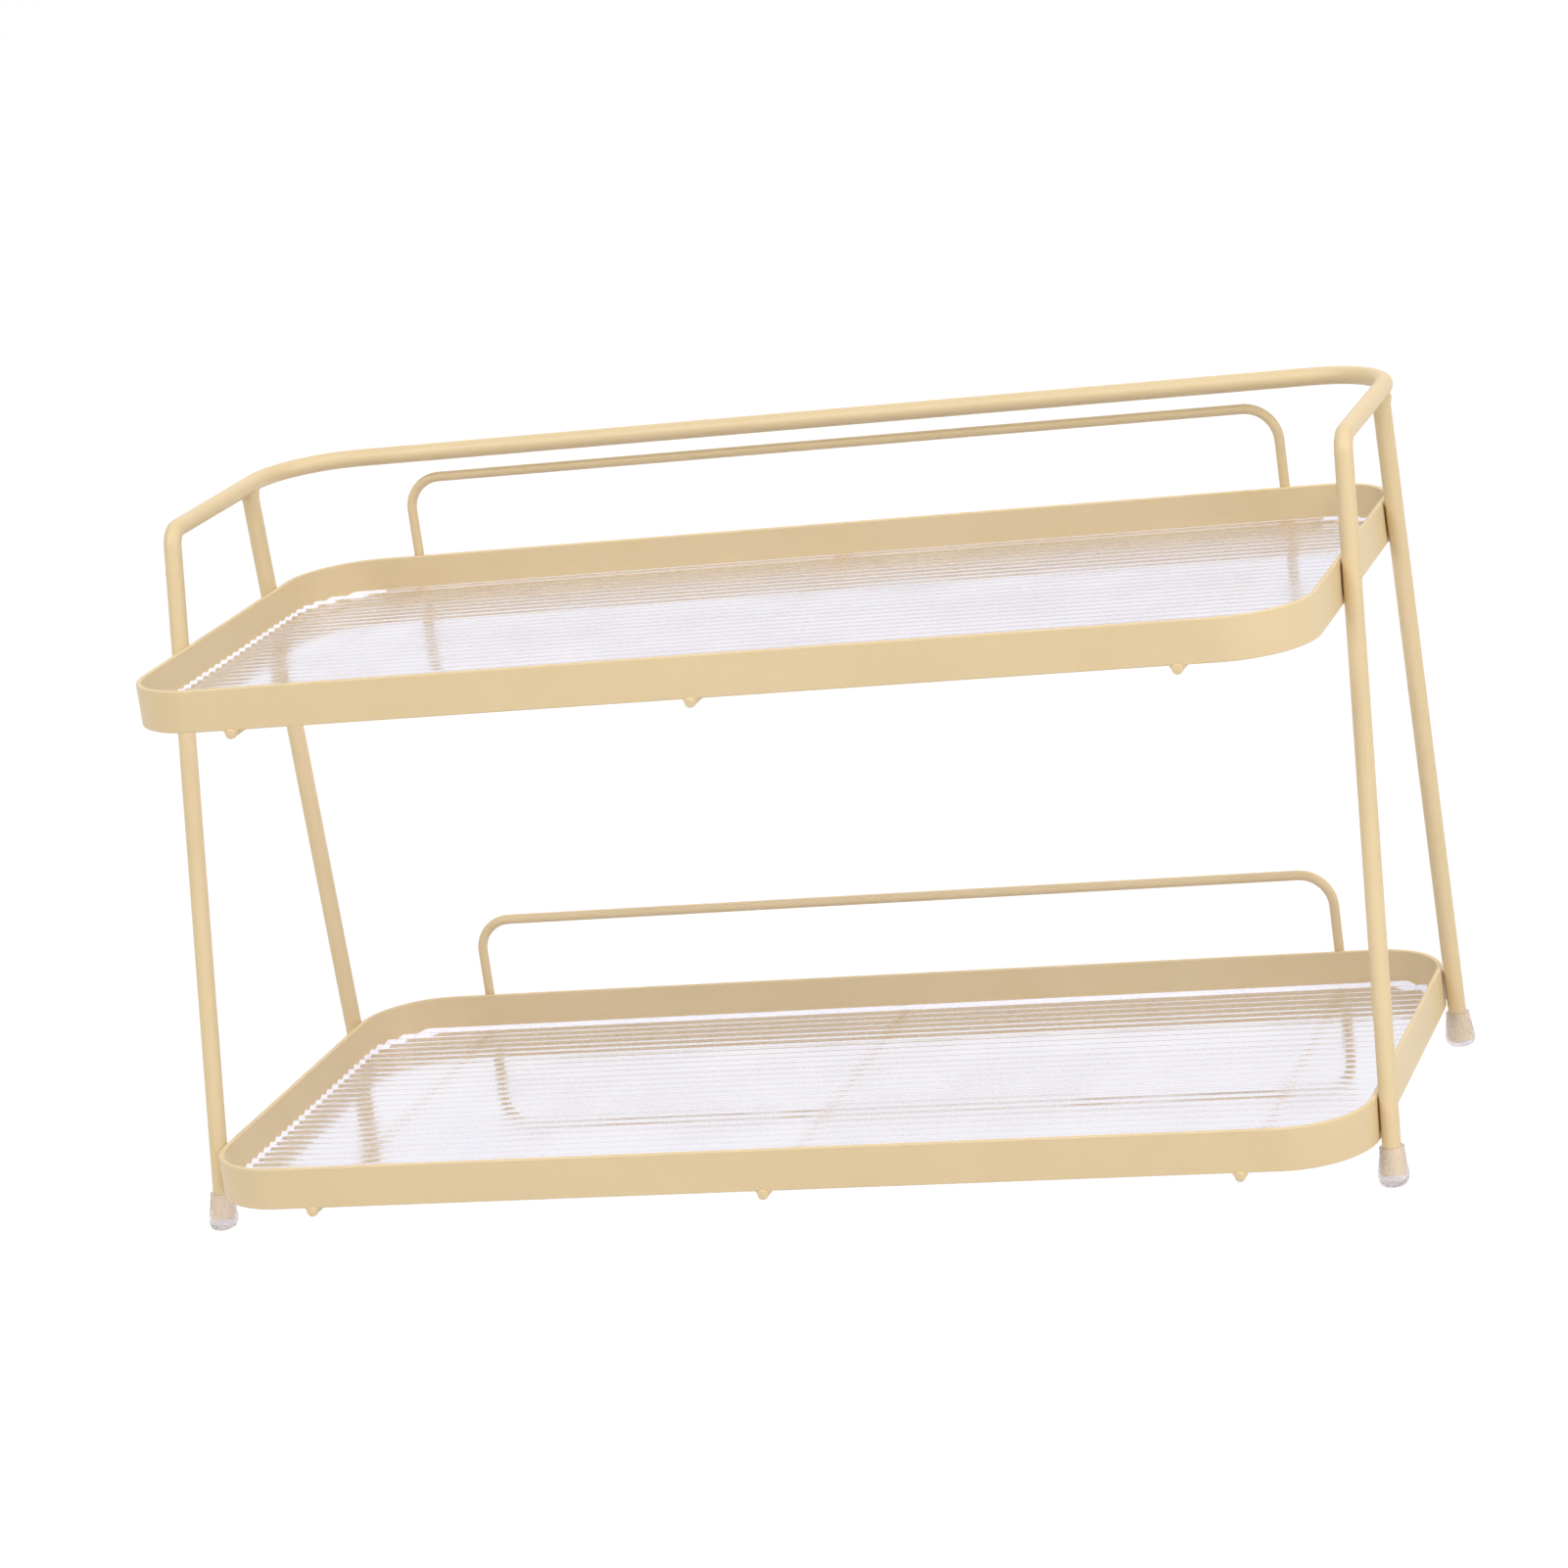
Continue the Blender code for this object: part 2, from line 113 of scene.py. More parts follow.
class NodePlan:
    """The nodes of one material, added and wired by name."""

    def __init__(self, name: str) -> None:
        """Starts an empty material.

        Args:
            name: The material's name.
        """
        self.material = bpy.data.materials.new(name)
        self.material.use_nodes = True
        self.tree = self.material.node_tree
        self.tree.nodes.clear()

    def add(self, kind: str, **values: object) -> bpy.types.Node:
        """Adds a node.

        Args:
            kind: The node's type, without the ShaderNode prefix.
            **values: Plain values for its sockets, with _ for a space in the socket's name.

        Returns:
            The new node.
        """
        node = self.tree.nodes.new("ShaderNode" + kind)
        for name, value in values.items():
            node.inputs[name.replace("_", " ")].default_value = value
        return node

    def wire(self, source: bpy.types.NodeSocket, target: bpy.types.NodeSocket) -> None:
        """Links two sockets."""
        self.tree.links.new(source, target)

    def noise(self, scale: float, coordinates: bpy.types.Node, detail: float = 2.0) -> bpy.types.NodeSocket:
        """Adds a noise pattern on object coordinates.

        Args:
            scale: Features per metre.
            coordinates: The texture coordinate node.
            detail: Octaves of finer noise.

        Returns:
            The socket with the noise's strength, from 0 to 1.
        """
        node = self.add("TexNoise", Scale=scale, Detail=detail)
        self.wire(coordinates.outputs["Object"], node.inputs["Vector"])
        return node.outputs["Fac"]

    def remap(self, value: bpy.types.NodeSocket, low: float, high: float) -> bpy.types.NodeSocket:
        """Stretches the middle of a noise pattern to a range.

        Args:
            value: The pattern, from 0 to 1.
            low: Result at the pattern's dark parts.
            high: Result at its light parts.

        Returns:
            The socket with the stretched pattern.
        """
        node = self.add("MapRange", From_Min=NOISE_DARK, From_Max=NOISE_LIGHT, To_Min=low, To_Max=high)
        self.wire(value, node.inputs["Value"])
        return node.outputs["Result"]

    def blend(
        self, factor: bpy.types.NodeSocket, first: tuple[float, ...], second: tuple[float, ...]
    ) -> bpy.types.NodeSocket:
        """Mixes two colours by a pattern.

        Args:
            factor: The pattern, from 0 to 1.
            first: Colour at 0.
            second: Colour at 1.

        Returns:
            The socket with the mixed colour.
        """
        node = self.tree.nodes.new("ShaderNodeMix")
        node.data_type = "RGBA"
        self.wire(factor, node.inputs[MIX_FACTOR])
        node.inputs[MIX_FIRST].default_value = (*first, 1.0)
        node.inputs[MIX_SECOND].default_value = (*second, 1.0)
        return node.outputs[MIX_RESULT]

    def bump(self, height: bpy.types.NodeSocket, strength: float, distance: float) -> bpy.types.NodeSocket:
        """Adds relief.

        Args:
            height: The pattern that gives the height.
            strength: How strongly it shows, from 0 to 1.
            distance: Height of the relief in metres.

        Returns:
            The socket with the changed normal.
        """
        node = self.add("Bump", Strength=strength, Distance=distance)
        self.wire(height, node.inputs["Height"])
        return node.outputs["Normal"]

    def close(self, surface: bpy.types.NodeSocket) -> bpy.types.Material:
        """Wires the surface to the output.

        Args:
            surface: The finished shader.

        Returns:
            The material.
        """
        output = self.tree.nodes.new("ShaderNodeOutputMaterial")
        self.wire(surface, output.inputs["Surface"])
        return self.material

    def close_for_lamps(self, surface: bpy.types.NodeSocket, tint: tuple[float, ...]) -> bpy.types.Material:
        """Wires the surface to the output and lets lamp light through it.

        Args:
            surface: The finished shader.
            tint: Share of lamp light that passes, by colour.

        Returns:
            The material.
        """
        path = self.add("LightPath")
        clear = self.add("BsdfTransparent", Color=(*tint, 1.0))
        mix = self.add("MixShader")
        self.wire(path.outputs["Is Shadow Ray"], mix.inputs[0])
        self.wire(surface, mix.inputs[1])
        self.wire(clear.outputs[0], mix.inputs[2])
        return self.close(mix.outputs[0])


@dataclass(frozen=True)
class PowderCoat:
    """Satin powder coat: even cream with faint clouding and the fine orange peel of baked powder."""

    name: str = "cream_powder_coat"
    color: tuple[float, float, float] = (0.752, 0.587, 0.345)
    cloud: tuple[float, float, float] = (0.729, 0.562, 0.323)
    cloud_scale: float = 28.0
    grain_scale: float = 900.0
    peel_scale: float = 1500.0
    peel_height: float = 0.05 * MM
    peel_strength: float = 0.25
    smoothest: float = 0.34
    roughest: float = 0.46
    ior: float = 1.5

    def material(self) -> bpy.types.Material:
        """Builds the material."""
        plan = NodePlan(self.name)
        place = plan.add("TexCoord")
        shader = plan.add("BsdfPrincipled", Metallic=0.0, IOR=self.ior)
        cloud = plan.remap(plan.noise(self.cloud_scale, place), 0.0, 1.0)
        plan.wire(plan.blend(cloud, self.color, self.cloud), shader.inputs["Base Color"])
        grain = plan.noise(self.grain_scale, place)
        plan.wire(plan.remap(grain, self.smoothest, self.roughest), shader.inputs["Roughness"])
        peel = plan.noise(self.peel_scale, place, detail=1.0)
        plan.wire(plan.bump(peel, self.peel_strength, self.peel_height), shader.inputs["Normal"])
        return plan.close(shader.outputs[0])


@dataclass(frozen=True)
class ClearFlutedSheet:
    """Clear moulded sheet: polished, with a faint lavender cast and slight flow waviness."""

    name: str = "clear_fluted_sheet"
    color: tuple[float, float, float] = (0.915, 0.902, 0.955)
    streak: tuple[float, float, float] = (0.892, 0.878, 0.937)
    streak_scale: float = 40.0
    smoothest: float = 0.04
    roughest: float = 0.09
    ior: float = 1.49

    def material(self) -> bpy.types.Material:
        """Builds the material."""
        plan = NodePlan(self.name)
        place = plan.add("TexCoord")
        shader = plan.add("BsdfPrincipled", Metallic=0.0, IOR=self.ior, Transmission_Weight=1.0)
        streak = plan.remap(plan.noise(self.streak_scale, place), 0.0, 1.0)
        plan.wire(plan.blend(streak, self.color, self.streak), shader.inputs["Base Color"])
        plan.wire(plan.remap(streak, self.smoothest, self.roughest), shader.inputs["Roughness"])
        return plan.close_for_lamps(shader.outputs[0], self.color)


@dataclass(frozen=True)
class CutSheetEdge:
    """Cut edge of the clear sheet: frosted, with a painted glow that stands in for the light it gathers, so
    that it looks white.
    """

    name: str = "cut_sheet_edge"
    color: tuple[float, float, float] = (0.985, 0.98, 0.975)
    shade: tuple[float, float, float] = (0.93, 0.925, 0.92)
    saw_scale: float = 1800.0
    painted_glow: float = 0.14
    smoothest: float = 0.45
    roughest: float = 0.7
    ior: float = 1.49

    def material(self) -> bpy.types.Material:
        """Builds the material."""
        plan = NodePlan(self.name)
        place = plan.add("TexCoord")
        shader = plan.add("BsdfPrincipled", Metallic=0.0, IOR=self.ior)
        # Painted glow: the edge gives off a little light of its own so that it looks white
        shader.inputs["Emission Color"].default_value = (*self.color, 1.0)
        shader.inputs["Emission Strength"].default_value = self.painted_glow
        saw = plan.remap(plan.noise(self.saw_scale, place, detail=3.0), 0.0, 1.0)
        plan.wire(plan.blend(saw, self.color, self.shade), shader.inputs["Base Color"])
        plan.wire(plan.remap(saw, self.smoothest, self.roughest), shader.inputs["Roughness"])
        return plan.close_for_lamps(shader.outputs[0], self.color)


@dataclass(frozen=True)
class MilkySoftPlastic:
    """Soft cap plastic: cloudy and half see-through, so that the rod inside shows, with painted shade
    darkening its outline.
    """

    name: str = "milky_soft_plastic"
    color: tuple[float, float, float] = (0.88, 0.86, 0.88)
    cloud: tuple[float, float, float] = (0.85, 0.83, 0.85)
    # Painted shade: the cap's colour darkens to this grey where its surface turns away at grazing angles
    edge: tuple[float, float, float] = (0.46, 0.45, 0.47)
    painted_shade_start: float = 0.62
    cloud_scale: float = 420.0
    transmission: float = 0.76
    smoothest: float = 0.22
    roughest: float = 0.36
    ripple_height: float = 0.006 * MM
    ripple_strength: float = 0.3
    ior: float = 1.45

    def material(self) -> bpy.types.Material:
        """Builds the material."""
        plan = NodePlan(self.name)
        place = plan.add("TexCoord")
        shader = plan.add("BsdfPrincipled", Metallic=0.0, IOR=self.ior, Transmission_Weight=self.transmission)
        noise = plan.noise(self.cloud_scale, place)
        clouded = plan.blend(plan.remap(noise, 0.0, 1.0), self.color, self.cloud)
        # Painted shade at the cap's outline, by how far the surface faces away
        grazing = plan.add("LayerWeight", Blend=0.5)
        rim = plan.add("MapRange", From_Min=self.painted_shade_start, From_Max=1.0, To_Min=0.0, To_Max=1.0)
        plan.wire(grazing.outputs["Facing"], rim.inputs["Value"])
        shaded = plan.blend(rim.outputs["Result"], self.color, self.edge)
        plan.wire(clouded, shaded.node.inputs[MIX_FIRST])
        plan.wire(shaded, shader.inputs["Base Color"])
        plan.wire(plan.remap(noise, self.smoothest, self.roughest), shader.inputs["Roughness"])
        plan.wire(plan.bump(noise, self.ripple_strength, self.ripple_height), shader.inputs["Normal"])
        return plan.close_for_lamps(shader.outputs[0], self.color)


@dataclass(frozen=True)
class PaleFloor:
    """Plain white table: keeps a light shadow, and is white to whatever sees it."""

    name: str = "pale_floor"
    seen: float = 0.08
    glow: float = 0.97
    bounce: float = 0.8
    grain_scale: float = 30.0
    grain_dimmest: float = 0.98

    def material(self) -> bpy.types.Material:
        """Builds the material."""
        plan = NodePlan(self.name)
        place = plan.add("TexCoord")
        grain = plan.remap(plan.noise(self.grain_scale, place), 0.0, 1.0)
        matt = plan.add("BsdfDiffuse")
        dimmer = (self.grain_dimmest * self.seen,) * 3
        plan.wire(plan.blend(grain, (self.seen,) * 3, dimmer), matt.inputs["Color"])
        light = plan.add("Emission", Color=WHITE, Strength=self.glow)
        both = plan.add("AddShader")
        plan.wire(matt.outputs[0], both.inputs[0])
        plan.wire(light.outputs[0], both.inputs[1])
        plain = plan.add("BsdfDiffuse", Color=(self.bounce,) * 3 + (1.0,))
        mix = plan.add("MixShader")
        plan.wire(showing_rays(plan.tree), mix.inputs[0])
        plan.wire(plain.outputs[0], mix.inputs[1])
        plan.wire(both.outputs[0], mix.inputs[2])
        return plan.close(mix.outputs[0])


# ---- making pieces ----


def verts_of(geometry: list) -> list[bmesh.types.BMVert]:
    """Picks the vertices out of what an operator returns."""
    return [part for part in geometry if isinstance(part, bmesh.types.BMVert)]


def faces_of(geometry: list) -> list[bmesh.types.BMFace]:
    """Picks the faces out of what an operator returns."""
    return [part for part in geometry if isinstance(part, bmesh.types.BMFace)]


class Sweep:
    """A flat section pushed along straight runs and round bends, as a rod is bent."""

    def __init__(self, section: bmesh.types.BMesh, place: Vector, heading: Vector, up: Vector) -> None:
        """Stands a section up at the start of the path.

        Args:
            section: One face in the XY plane about the origin.
            place: Start of the path.
            heading: Direction of the path at its start.
            up: Direction that the section's Y takes.
        """
        self.bm = section
        self.heading = heading.normalized()
        self.place = place.copy()
        across = up.cross(self.heading).normalized()
        stand = Matrix((across, self.heading.cross(across), self.heading)).transposed().to_4x4()
        stand.translation = place
        bmesh.ops.transform(self.bm, matrix=stand, verts=self.bm.verts)
        self.bm.faces.ensure_lookup_table()
        self.first = self.bm.faces[0]
        self.last = self.bm.faces[0]

    def push(self, distance: float) -> "Sweep":
        """Lengthens the rod straight ahead.

        Args:
            distance: Length of the run.

        Returns:
            The sweep itself.
        """
        grown = bmesh.ops.extrude_face_region(self.bm, geom=[self.last])["geom"]
        self.last = faces_of(grown)[0]
        bmesh.ops.translate(self.bm, vec=self.heading * distance, verts=list(self.last.verts))
        self.place += self.heading * distance
        return self

    def turn(self, axis: Vector, angle: float, radius: float, steps: int) -> "Sweep":
        """Bends the rod.

        Args:
            axis: Axis of the bend, square to the heading.
            angle: How far it bends, by the right-hand rule.
            radius: Radius of the centre line.
            steps: Pieces of the bend.

        Returns:
            The sweep itself.
        """
        centre = self.place + axis.cross(self.heading) * radius
        whole = Matrix.Rotation(angle, 3, axis)
        part = Matrix.Rotation(angle / steps, 3, axis)
        for _ in range(steps):
            grown = bmesh.ops.extrude_face_region(self.bm, geom=[self.last])["geom"]
            self.last = faces_of(grown)[0]
            bmesh.ops.rotate(self.bm, cent=centre, matrix=part, verts=list(self.last.verts))
        self.place = centre + whole @ (self.place - centre)
        self.heading = whole @ self.heading
        return self

    def join_ends(self) -> "Sweep":
        """Closes a path that has come back to its start."""
        bmesh.ops.delete(self.bm, geom=[self.first, self.last], context="FACES_ONLY")
        bmesh.ops.remove_doubles(self.bm, verts=self.bm.verts, dist=0.01 * MM)
        return self


def bevel_edges(bm: bmesh.types.BMesh, edges: list, radius: float, segments: int) -> None:
    """Rounds edges.

    Args:
        bm: The mesh.
        edges: The edges to round.
        radius: How far the rounding reaches.
        segments: Facets across it.
    """
    bmesh.ops.bevel(
        bm,
        geom=edges,
        offset=radius,
        offset_type="OFFSET",
        affect="EDGES",
        segments=segments,
        profile=0.5,
        material=-1,
        clamp_overlap=True,
    )


def round_section(radius: float, sides: int) -> bmesh.types.BMesh:
    """Makes the section of a round rod.

    Args:
        radius: Radius of the rod.
        sides: Facets round it.

    Returns:
        A mesh of one face.
    """
    bm = bmesh.new()
    bmesh.ops.create_circle(bm, cap_ends=True, segments=sides, radius=radius)
    return bm


def strip_section(thickness: float, height: float, edge: float, segments: int) -> bmesh.types.BMesh:
    """Makes the section of a flat strip with rounded edges.

    Args:
        thickness: Across the strip.
        height: Along the strip's width.
        edge: Radius of its four edges.
        segments: Facets round each edge.

    Returns:
        A mesh of one face.
    """
    bm = bmesh.new()
    bmesh.ops.create_grid(bm, x_segments=1, y_segments=1, size=0.5)
    bmesh.ops.scale(bm, vec=(thickness, height, 1), verts=bm.verts)
    bmesh.ops.bevel(
        bm,
        geom=list(bm.verts),
        offset=edge,
        offset_type="OFFSET",
        affect="VERTICES",
        segments=segments,
        profile=0.5,
        material=-1,
    )
    return bm


def rounded_prism(low: Vector, high: Vector, radius: float, segments: int) -> bmesh.types.BMesh:
    """Makes a block with four round upright edges.

    Args:
        low: Lowest corner.
        high: Highest corner.
        radius: Radius of the upright edges.
        segments: Facets round each.

    Returns:
        A closed mesh.
    """
    bm = bmesh.new()
    bmesh.ops.create_cube(bm, size=1)
    size = high - low
    bmesh.ops.scale(bm, vec=size, verts=bm.verts)
    bmesh.ops.translate(bm, vec=(low + high) / 2, verts=bm.verts)
    upright = [e for e in bm.edges if abs((e.verts[0].co - e.verts[1].co).z) > size.z / 2]
    bevel_edges(bm, upright, radius, segments)
    return bm


def draw_to(bm: bmesh.types.BMesh, last: bmesh.types.BMVert, place: tuple) -> bmesh.types.BMVert:
    """Draws a straight line of a section.

    Args:
        bm: The section.
        last: Its last point.
        place: Where the line ends.

    Returns:
        The new last point.
    """
    point = verts_of(bmesh.ops.extrude_vert_indiv(bm, verts=[last])["verts"])[0]
    point.co = place
    return point


def draw_arc(
    bm: bmesh.types.BMesh, last: bmesh.types.BMVert, centre: tuple, axis: Vector, angle: float, steps: int
) -> bmesh.types.BMVert:
    """Draws a round of a section.

    Args:
        bm: The section.
        last: Its last point.
        centre: Centre of the round.
        axis: Axis that it turns about.
        angle: How far it turns.
        steps: Facets of the round.

    Returns:
        The new last point.
    """
    spun = bmesh.ops.spin(bm, geom=[last], cent=centre, axis=axis, angle=angle, steps=steps)
    return verts_of(spun["geom_last"])[0]


@dataclass
class Workshop:
    """Turns meshes into dressed pieces of the organizer."""

    sharp: float = math.radians(35)

    def piece(
        self,
        bm: bmesh.types.BMesh,
        name: str,
        body: Body,
        slot: Slot,
        materials: list[bpy.types.Material],
        nodes: tuple[str, ...] = (),
    ) -> bpy.types.Object:
        """Finishes one piece, hangs it on its body and logs it.

        Args:
            bm: The piece's shape, in place.
            name: The piece's name.
            body: The body that it moves with.
            slot: The record's slot for its finish; not used.
            materials: Its materials, the main one first.
            nodes: The CAD nodes that it stands for.

        Returns:
            The new object.
        """
        bmesh.ops.recalc_face_normals(bm, faces=bm.faces)
        mesh = bpy.data.meshes.new(name)
        bm.to_mesh(mesh)
        bm.free()
        mesh.shade_smooth()
        mesh.set_sharp_from_angle(angle=self.sharp)
        for material in materials:
            mesh.materials.append(material)
        obj = bpy.data.objects.new(name, mesh)
        bpy.context.scene.collection.objects.link(obj)
        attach(obj, body.value)
        if nodes:
            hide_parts(*nodes)
        LOG.info("%s: %d faces on %s", name, len(mesh.polygons), body.value)
        return obj

    def even_shading(self, obj: bpy.types.Object) -> None:
        """Keeps large flat faces flat beside their rounded edges.

        Args:
            obj: The piece.
        """
        modifier = obj.modifiers.new("even_shading", "WEIGHTED_NORMAL")
        modifier.keep_sharp = True
        modifier.weight = 100

    def keep_inside(self, bm: bmesh.types.BMesh, block: bmesh.types.BMesh) -> bmesh.types.BMesh:
        """Cuts a shape to the outline of a block.

        Args:
            bm: The shape.
            block: A closed mesh round what is kept.

        Returns:
            The part of the shape inside the block.
        """
        shapes = []
        for source in (bm, block):
            bmesh.ops.recalc_face_normals(source, faces=source.faces)
            mesh = bpy.data.meshes.new("cutting")
            source.to_mesh(mesh)
            source.free()
            shape = bpy.data.objects.new("cutting", mesh)
            bpy.context.scene.collection.objects.link(shape)
            shapes.append(shape)
        cut = shapes[0].modifiers.new("outline", "BOOLEAN")
        cut.operation = "INTERSECT"
        cut.solver = "EXACT"
        cut.object = shapes[1]
        graph = bpy.context.evaluated_depsgraph_get()
        kept = bmesh.new()
        kept.from_mesh(shapes[0].evaluated_get(graph).to_mesh())
        shapes[0].evaluated_get(graph).to_mesh_clear()
        for shape in shapes:
            mesh = shape.data
            bpy.data.objects.remove(shape)
            bpy.data.meshes.remove(mesh)
        return kept


# ---- the organizer ----


@dataclass
class Tray:
    """One tier: strip rim, fluted panel, three cross wires, guard and their welds."""

    tier: str
    panel_body: Body
    shop: Workshop
    coat: bpy.types.Material
    sheet: bpy.types.Material
    cut_edge: bpy.types.Material
    frosted_rear: bool
    corner_radius: float = 27 * MM
    strip_thickness: float = 1.8 * MM
    strip_edge: float = 0.5 * MM
    strip_edge_facets: int = 4
    panel_clearance: float = 0.5 * MM
    panel_overrun: float = 4.0 * MM
    panel_seat: float = 0.7 * MM
    panel_base: float = 1.6 * MM
    rib_pitch: float = 5.4 * MM
    rib_rise: float = 1.3 * MM
    rib_round: float = 1.3 * MM
    rib_facets: int = 7
    wire_radius: float = 1.7 * MM
    guard_bend: float = 11.5 * MM
    wire_sides: int = 24
    bend_steps: int = 24
    corner_steps: int = 28
    wire_end_round: float = 0.4 * MM
    weld_half_width: float = 2.9 * MM
    weld_foot_half: float = 1.0 * MM
    weld_drop: float = 2.7 * MM
    weld_sunk: float = 0.5 * MM
    weld_setback: float = 0.1 * MM
    weld_round: float = 0.4 * MM
    guard_weld_spread: float = 1.0 * MM
    guard_weld_depth: float = 1.2 * MM
    guard_weld_offset: float = 0.5 * MM
    guard_weld_below_top: float = 0.6 * MM
    guard_weld_round: float = 0.35 * MM
    guard_weld_share: float = 0.8
    guard_weld_taper: float = 0.8
    round_facets: int = 3

    def __post_init__(self) -> None:
        """Takes the tray's place from its packed rim."""
        self.low, self.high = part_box(self.tier + "_rim")
        self.middle = (self.low + self.high) / 2
        self.length = self.high.x - self.low.x
        self.depth = self.high.y - self.low.y
        self.height = self.high.z - self.low.z

    def build(self) -> None:
        """Makes every piece of the tier."""
        self.make_rim()
        self.make_panel()
        for name in ("left", "centre", "right"):
            self.make_cross_wire(name)
        self.make_guard()
        self.make_welds()

    def make_rim(self) -> None:
        """Bends the strip round the tray."""
        half = self.strip_thickness / 2
        section = strip_section(self.strip_thickness, self.height, self.strip_edge, self.strip_edge_facets)
        start = Vector((self.middle.x, self.low.y + half, self.middle.z))
        side = self.length / 2 - self.corner_radius
        end = self.depth - 2 * self.corner_radius
        bend = self.corner_radius - half
        quarter = math.pi / 2
        path = Sweep(section, start, X, Z)
        path.push(side).turn(Z, quarter, bend, self.corner_steps).push(end)
        path.turn(Z, quarter, bend, self.corner_steps).push(2 * side)
        path.turn(Z, quarter, bend, self.corner_steps).push(end)
        path.turn(Z, quarter, bend, self.corner_steps).push(side).join_ends()
        name = self.tier + "_rim"
        rim = self.shop.piece(path.bm, name + "_strip", Body.FRAME, Slot.COAT, [self.coat], (name,))
        self.shop.even_shading(rim)

    def rib_section(self, depth: float) -> bmesh.types.BMesh:
        """Draws the panel's end: flat below, with ribs on top that have round crests and straight flanks.

        Args:
            depth: Depth that the ribs have to cover.

        Returns:
            A mesh of one face across X, about the tray's middle.
        """
        bm = bmesh.new()
        count = math.ceil(depth / self.rib_pitch)
        half = self.rib_pitch / 2
        radius = self.rib_round
        steep = self.flank_angle()
        run = radius * math.sin(steep)
        fall = radius * (1 - math.cos(steep))
        front = self.middle.y - count * half
        base = self.low.z + self.panel_seat + self.panel_base
        crest = base + self.rib_rise
        first = bm.verts.new((0, front, base))
        last = first
        for rib in range(count):
            y = front + 2 * rib * half
            last = draw_arc(bm, last, (0, y, base + radius), X, steep, self.rib_facets)
            last = draw_to(bm, last, (0, y + half - run, crest - fall))
            last = draw_arc(bm, last, (0, y + half, crest - radius), X, -2 * steep, 2 * self.rib_facets)
            last = draw_to(bm, last, (0, y + 2 * half - run, base + fall))
            last = draw_arc(bm, last, (0, y + 2 * half, base + radius), X, steep, self.rib_facets)
        under = bmesh.ops.extrude_vert_indiv(bm, verts=[first, last])
        bmesh.ops.translate(bm, vec=(0, 0, -self.panel_base), verts=verts_of(under["verts"]))
        bm.edges.new(verts_of(under["verts"]))
        bmesh.ops.contextual_create(bm, geom=list(bm.edges))
        return bm

    def flank_angle(self) -> float:
        """Angle of the flanks at which two rounds and a flank together climb the rib's rise."""
        half = self.rib_pitch / 2
        level = 2 * self.rib_round - self.rib_rise
        return math.asin(2 * self.rib_round / math.hypot(half, level)) - math.atan2(level, half)

    def make_panel(self) -> None:
        """Draws the ribs along the tray and cuts the sheet to the rim's inner outline."""
        inset = self.strip_thickness + self.panel_clearance
        depth = self.depth - 2 * inset
        length = self.length - 2 * inset
        over = self.panel_overrun
        bm = self.rib_section(depth)
        bmesh.ops.translate(bm, vec=(-length / 2 - over, 0, 0), verts=bm.verts)
        grown = bmesh.ops.extrude_face_region(bm, geom=list(bm.faces))["geom"]
        bmesh.ops.translate(bm, vec=(length + 2 * over, 0, 0), verts=verts_of(grown))
        rise = Z * over
        inset_by = Vector((inset, inset, 0))
        block = rounded_prism(
            self.low + inset_by - rise,
            Vector((self.high.x, self.high.y, self.low.z)) - inset_by + 2 * rise,
            self.corner_radius - inset,
            self.corner_steps,
        )
        bm = self.shop.keep_inside(bm, block)
        for face in bm.faces:
            face.material_index = int(self.is_frosted(face.normal))
        name = self.tier + "_panel"
        finishes = [self.sheet, self.cut_edge]
        self.shop.piece(bm, name + "_sheet", self.panel_body, Slot.SHEET, finishes, (name,))

    def is_frosted(self, normal: Vector) -> bool:
        """Tells the sheet's frosted cuts from its clear faces.

        Args:
            normal: The normal of one of its faces.

        Returns:
            True at both ends, at the rounded corners, and on a sheet with a frosted rear edge also there.
        """
        turned_from_ribs = 0.01
        facing_rear = 0.9
        return abs(normal.x) > turned_from_ribs or (self.frosted_rear and normal.y > facing_rear)

    def make_cross_wire(self, place: str) -> None:
        """Makes one straight wire under the panel.

        Args:
            place: Left, centre or right, as in its node's name.
        """
        name = f"{self.tier}_cross_wire_{place}"
        low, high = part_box(name)
        start = (low + high) / 2
        start.y = low.y
        path = Sweep(round_section(self.wire_radius, self.wire_sides), start, Y, Z)
        path.push(high.y - low.y)
        ends = [face for face in path.bm.faces if len(face.verts) > 4]
        edges = list({e for f in ends for e in f.edges})
        bevel_edges(path.bm, edges, self.wire_end_round, self.round_facets)
        self.shop.piece(path.bm, name + "_rod", Body.FRAME, Slot.COAT, [self.coat], (name,))

    def make_guard(self) -> None:
        """Bends the guard behind the rim."""
        name = self.tier + "_guard"
        low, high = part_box(name)
        radius = self.wire_radius
        start = Vector((low.x + radius, (low.y + high.y) / 2, low.z))
        rise = high.z - radius - low.z - self.guard_bend
        across = high.x - low.x - 2 * (radius + self.guard_bend)
        path = Sweep(round_section(radius, self.wire_sides), start, Z, Y)
        path.push(rise).turn(Y, math.pi / 2, self.guard_bend, self.bend_steps).push(across)
        path.turn(Y, math.pi / 2, self.guard_bend, self.bend_steps).push(rise)
        self.shop.piece(path.bm, name + "_wire", Body.FRAME, Slot.COAT, [self.coat], (name,))

